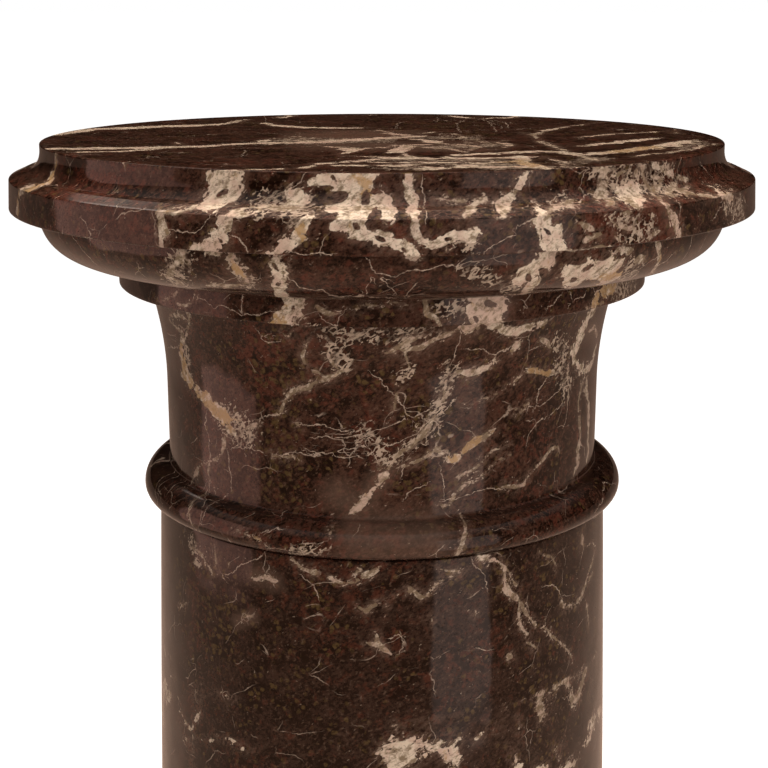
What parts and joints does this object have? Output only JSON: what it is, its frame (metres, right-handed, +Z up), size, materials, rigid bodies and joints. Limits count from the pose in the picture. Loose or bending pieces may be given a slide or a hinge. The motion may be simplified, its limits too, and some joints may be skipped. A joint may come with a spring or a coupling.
{
  "type": "marble pedestal column",
  "caption": "Round turned pedestal column of dark veined marble: moulded flat-topped capital with a collar bead, tapering plain shaft and moulded round base, to carry a bust or urn.",
  "frame": {"origin": "centre of the round plinth's underside, on the floor", "axes": "+Z up along the column's axis, -Y towards the side that the picture shows"},
  "size_m": [0.4008, 0.4008, 1.1],
  "materials": {
    "capital_marble": "high polish, dark brown-red ground with cream and pinkish white veins",
    "shaft_marble": "high polish, dark brown-red ground with fine pale veins",
    "base_marble": "high polish, dark brown-red ground with cream veins"
  },
  "bodies": {
    "root": {"capital": "capital_marble", "shaft": "shaft_marble", "base": "base_marble"}
  },
  "joints": []
}
